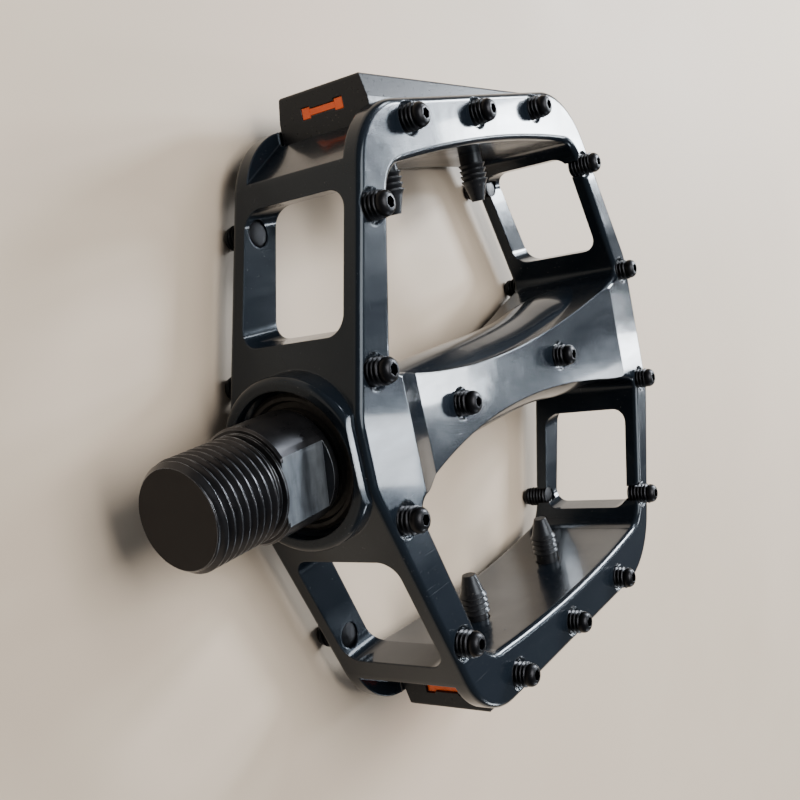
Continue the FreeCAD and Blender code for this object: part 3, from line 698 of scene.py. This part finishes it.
# CAD nodes whose shape stays
CARRIED = {
    "pedal_body": paint, "dust_seal": rubber, "dust_cap": cap_plastic,
    "inboard_race_cup": race_steel, "outboard_race_cup": race_steel, "outboard_cone": race_steel,
    "inboard_balls": ball_steel, "outboard_balls": ball_steel,
    "keyed_washer": zinc, "locknut": zinc,
    "front_reflector_housing": plastic, "rear_reflector_housing": plastic,
}
for node, material in CARRIED.items():
    NODES[node].data.materials.clear()
    NODES[node].data.materials.append(material)

verts, faces, marks = make_spindle()
piece("threaded_spindle", verts, faces, [oxide, flats, end_face], "spindle",
      ["spindle"], 30, marks)
screw = make_pin()
for face_side in ("top", "bottom"):
    for group in ("front", "rear", "inboard", "outboard", "spar"):
        place_pins(face_side + "_pins_" + group, pin_black, screw)
for end in ("front", "rear"):
    make_lens(end + "_reflector_lens", end + "_reflector_housing", amber)


# ---- floor, light, camera ------------------------------------------------------------------

FLOOR_FLAT = 1.7
FLOOR_RINGS = (0.25, 0.6, 1.0)  # shares of the flat part's radius
FLOOR_SPOKES = 96
BOWL_R = 1.1
BOWL_TURN = math.radians(75)
BOWL_STEPS = 12

COOL = (0.90, 0.95, 1.0)
WARM = (1.0, 0.97, 0.93)
# (name, azimuth, elevation, distance, size, watts, tint): degrees from +X towards +Y and up,
# metres from the pedal. The panes are what the gloss faces reflect towards the camera.
LIGHTS = (
    ("pane_40", 40, 27, 0.95, (0.16, 0.14), 2.5, COOL),
    ("pane_17", 17, 28, 0.95, (0.12, 0.19), 7.5, COOL),
    ("pane_6", 6.5, 26, 0.95, (0.10, 0.15), 4.2, COOL),
    ("pane_-9", -9, 23, 0.95, (0.04, 0.12), 1.0, COOL),
    ("pane_-15", -15, 38, 0.95, (0.08, 0.08), 0.9, COOL),
    ("low_side", -62, 20, 0.90, (0.22, 0.12), 1.6, COOL),
    ("top", 100, 78, 0.90, (0.60, 0.60), 12.0, WARM),
)
SKY = rgb(0.78, 0.84, 0.92)
SKY_STRENGTH = 0.20

# the photograph's viewpoint
CAMERA_LENS = 44.3
CAMERA_SENSOR = 36.0
CAMERA_CLIP = 0.005
CAMERA_PLACE = (-86.94 * MM, 25.90 * MM, 88.17 * MM)
CAMERA_RIGHT = (0.5416, -0.2042, 0.8154)
CAMERA_UP = (0.2423, 0.9668, 0.0811)


def add_object(name, data):
    made = bpy.data.objects.new(name, data)
    bpy.context.scene.collection.objects.link(made)
    return made


def make_floor(level):
    """Plain sheet, flat round the part and curving up far away on every side."""
    rings = [(share * FLOOR_FLAT, 0.0) for share in FLOOR_RINGS]
    for k in range(1, BOWL_STEPS + 1):
        angle = BOWL_TURN * k / BOWL_STEPS
        rings.append((FLOOR_FLAT + BOWL_R * math.sin(angle), BOWL_R * (1 - math.cos(angle))))
    verts = [(0.0, 0.0, level)]
    for r, rise in rings:
        for k in range(FLOOR_SPOKES):
            angle = TURN * k / FLOOR_SPOKES
            verts.append((r * math.cos(angle), r * math.sin(angle), level + rise))
    faces = []
    for k in range(FLOOR_SPOKES):
        after = (k + 1) % FLOOR_SPOKES
        faces.append((0, 1 + k, 1 + after))
        for ring in range(len(rings) - 1):
            low = 1 + ring * FLOOR_SPOKES
            high = low + FLOOR_SPOKES
            faces.append((low + k, high + k, high + after, low + after))
    mesh = bpy.data.meshes.new("floor")
    mesh.from_pydata(verts, [], faces)
    mesh.polygons.foreach_set("use_smooth", [True] * len(mesh.polygons))
    mesh.materials.append(pale_floor())
    made = add_object("floor", mesh)


def soft_light(name, place, aim, size, power, tint):
    """Rectangular light that faces aim."""
    lamp = bpy.data.lights.new(name, "AREA")
    lamp.shape = "RECTANGLE"
    lamp.size, lamp.size_y = size
    lamp.energy = power
    lamp.color = tint
    made = add_object(name, lamp)
    made.location = place
    made.rotation_mode = "QUATERNION"
    made.rotation_quaternion = (Vector(place) - Vector(aim)).to_track_quat("Z", "Y")


def direction(azimuth, elevation):
    """Unit vector, in degrees from +X towards +Y and up."""
    azimuth = math.radians(azimuth)
    elevation = math.radians(elevation)
    return Vector((math.cos(elevation) * math.cos(azimuth),
                   math.cos(elevation) * math.sin(azimuth), math.sin(elevation)))


low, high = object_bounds()
centre = (low + high) / 2
make_floor(low.z)
for name, azimuth, elevation, distance, size, power, tint in LIGHTS:
    place = centre + direction(azimuth, elevation) * distance
    soft_light(name, place, centre, size, power, tint)

world = bpy.data.worlds.new("studio")
world.use_nodes = True
sky = world.node_tree.nodes["Background"]
sky.inputs["Color"].default_value = SKY
sky.inputs["Strength"].default_value = SKY_STRENGTH
bpy.context.scene.world = world

camera_data = bpy.data.cameras.new("camera")
camera_data.lens = CAMERA_LENS
camera_data.sensor_width = CAMERA_SENSOR
camera_data.clip_start = CAMERA_CLIP
camera = add_object("camera", camera_data)
right = Vector(CAMERA_RIGHT).normalized()
up = Vector(CAMERA_UP).normalized()
axes = Matrix((right, up, right.cross(up))).transposed().to_4x4()
camera.matrix_world = Matrix.Translation(CAMERA_PLACE) @ axes
bpy.context.scene.camera = camera
